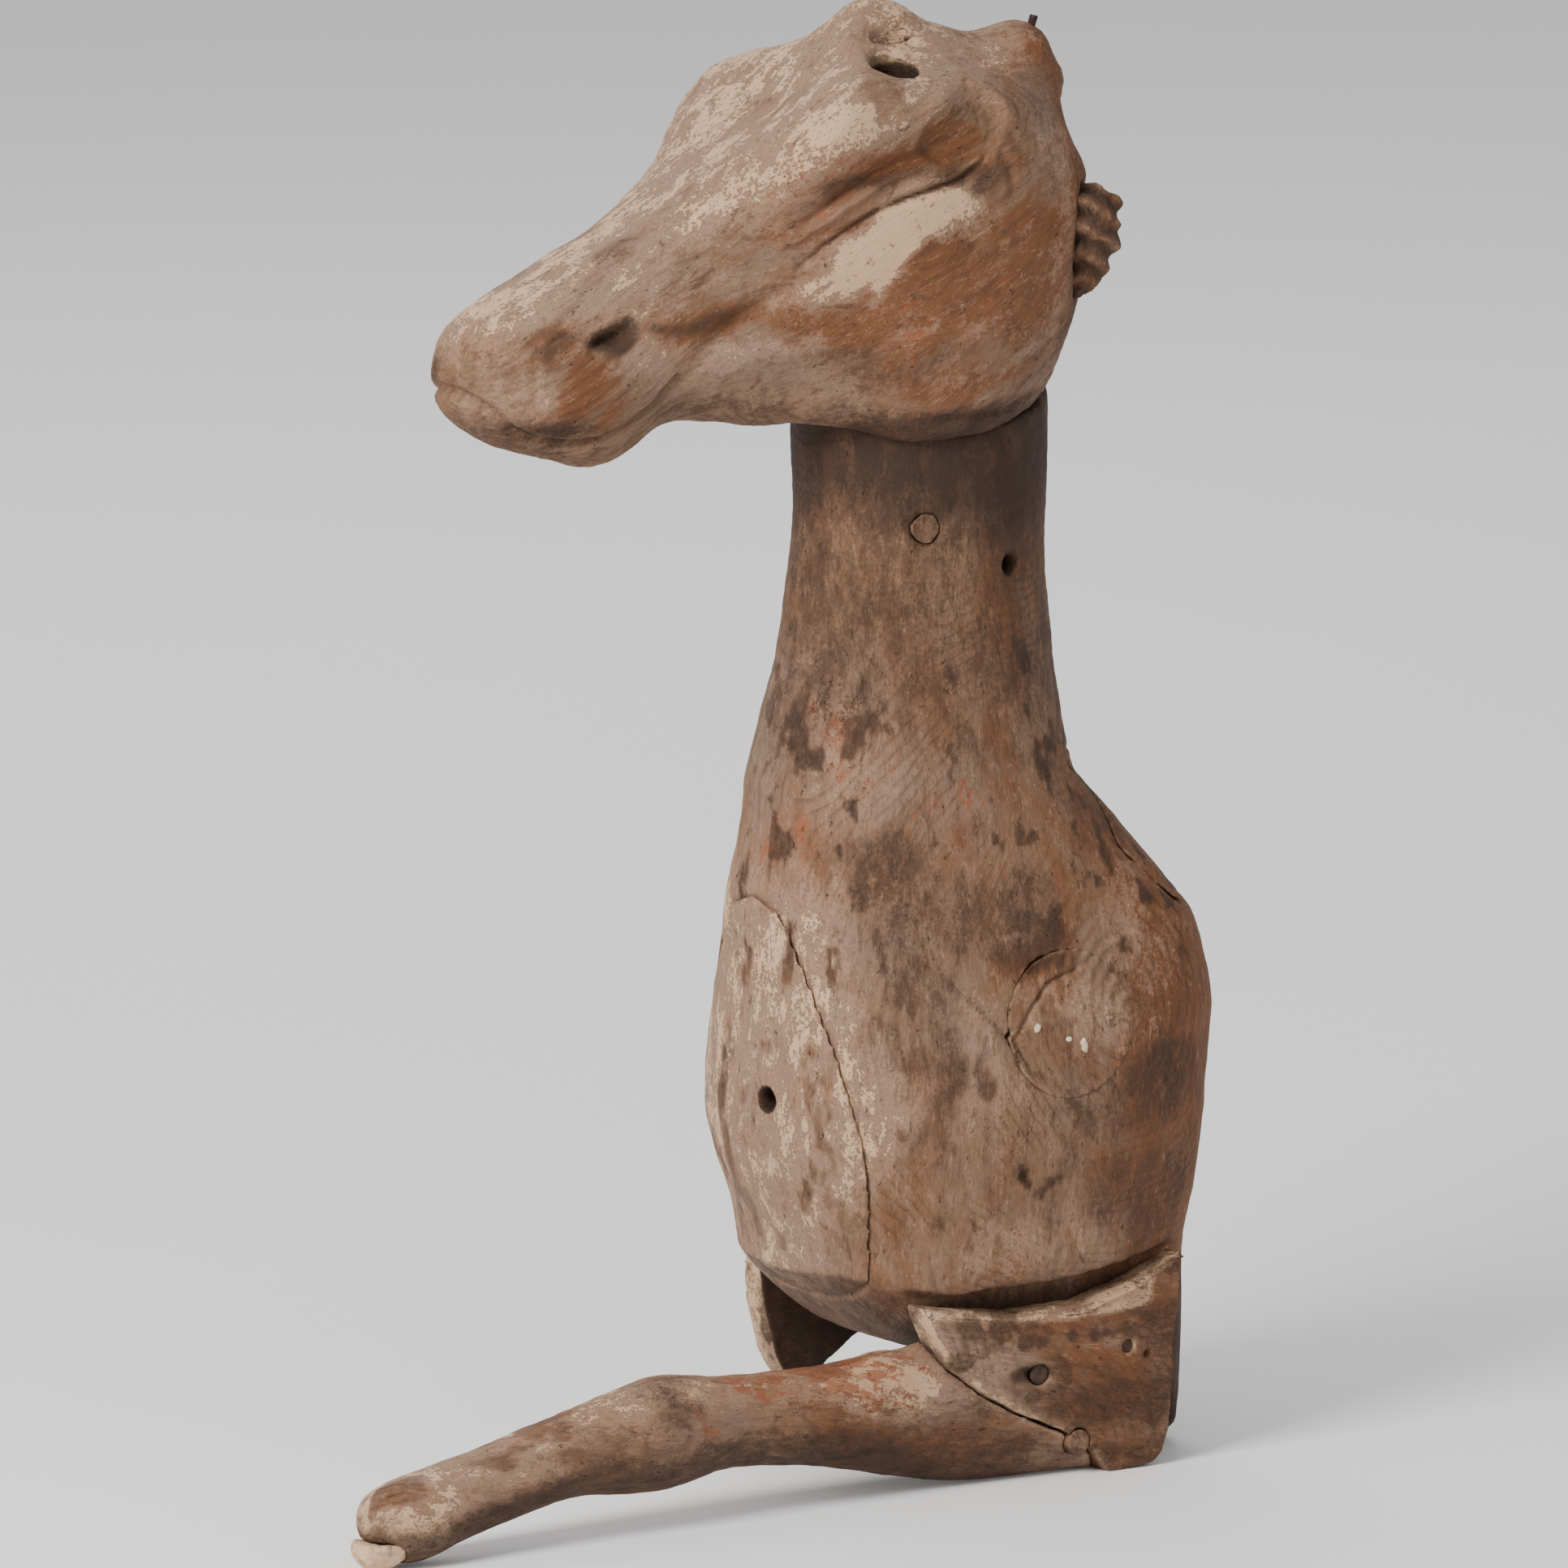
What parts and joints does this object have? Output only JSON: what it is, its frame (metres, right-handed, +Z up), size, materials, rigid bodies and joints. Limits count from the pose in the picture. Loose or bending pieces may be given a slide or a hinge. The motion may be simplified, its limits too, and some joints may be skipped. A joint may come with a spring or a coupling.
{
  "type": "carved giraffe statue",
  "caption": "Worn carved wooden giraffe, front half: head tenoned on a tall neck, flared chest, pegged upper arms and one foreleg lying forward.",
  "frame": {"origin": "on the floor, under the middle of the statue's bounding box", "axes": "-X is where the animal faces, +Z is up, -Y is its near side, on which the surviving foreleg lies"},
  "size_m": [0.521, 0.1941, 0.7329],
  "materials": {
    "painted_wood": "weathered wood with worn whitewash, ochre flakes and dark stain",
    "bare_wood": "unpainted pale wood",
    "dark_wood": "dark broken or stained wood",
    "old_iron": "dull rusted iron"
  },
  "bodies": {
    "root": {"neck_and_torso": "painted_wood", "chest_block": "painted_wood", "withers_cap": "painted_wood", "near_shoulder_insert": "painted_wood", "far_shoulder_insert": "painted_wood", "near_upper_arm": "painted_wood", "far_upper_arm": "painted_wood", "near_foreleg": "painted_wood", "head": "painted_wood", "hoof_stub": "bare_wood", "head_tenon": "bare_wood", "chest_dowels": "bare_wood", "withers_dowel": "bare_wood", "insert_dowels": "bare_wood", "near_elbow_dowel": "bare_wood", "near_ear_stub": "dark_wood", "far_ear_stub": "dark_wood", "neck_peg": "dark_wood", "chest_peg": "dark_wood", "near_arm_peg": "dark_wood", "near_arm_pin": "dark_wood", "far_arm_pegs": "dark_wood", "poll_nail": "old_iron"}
  },
  "joints": []
}
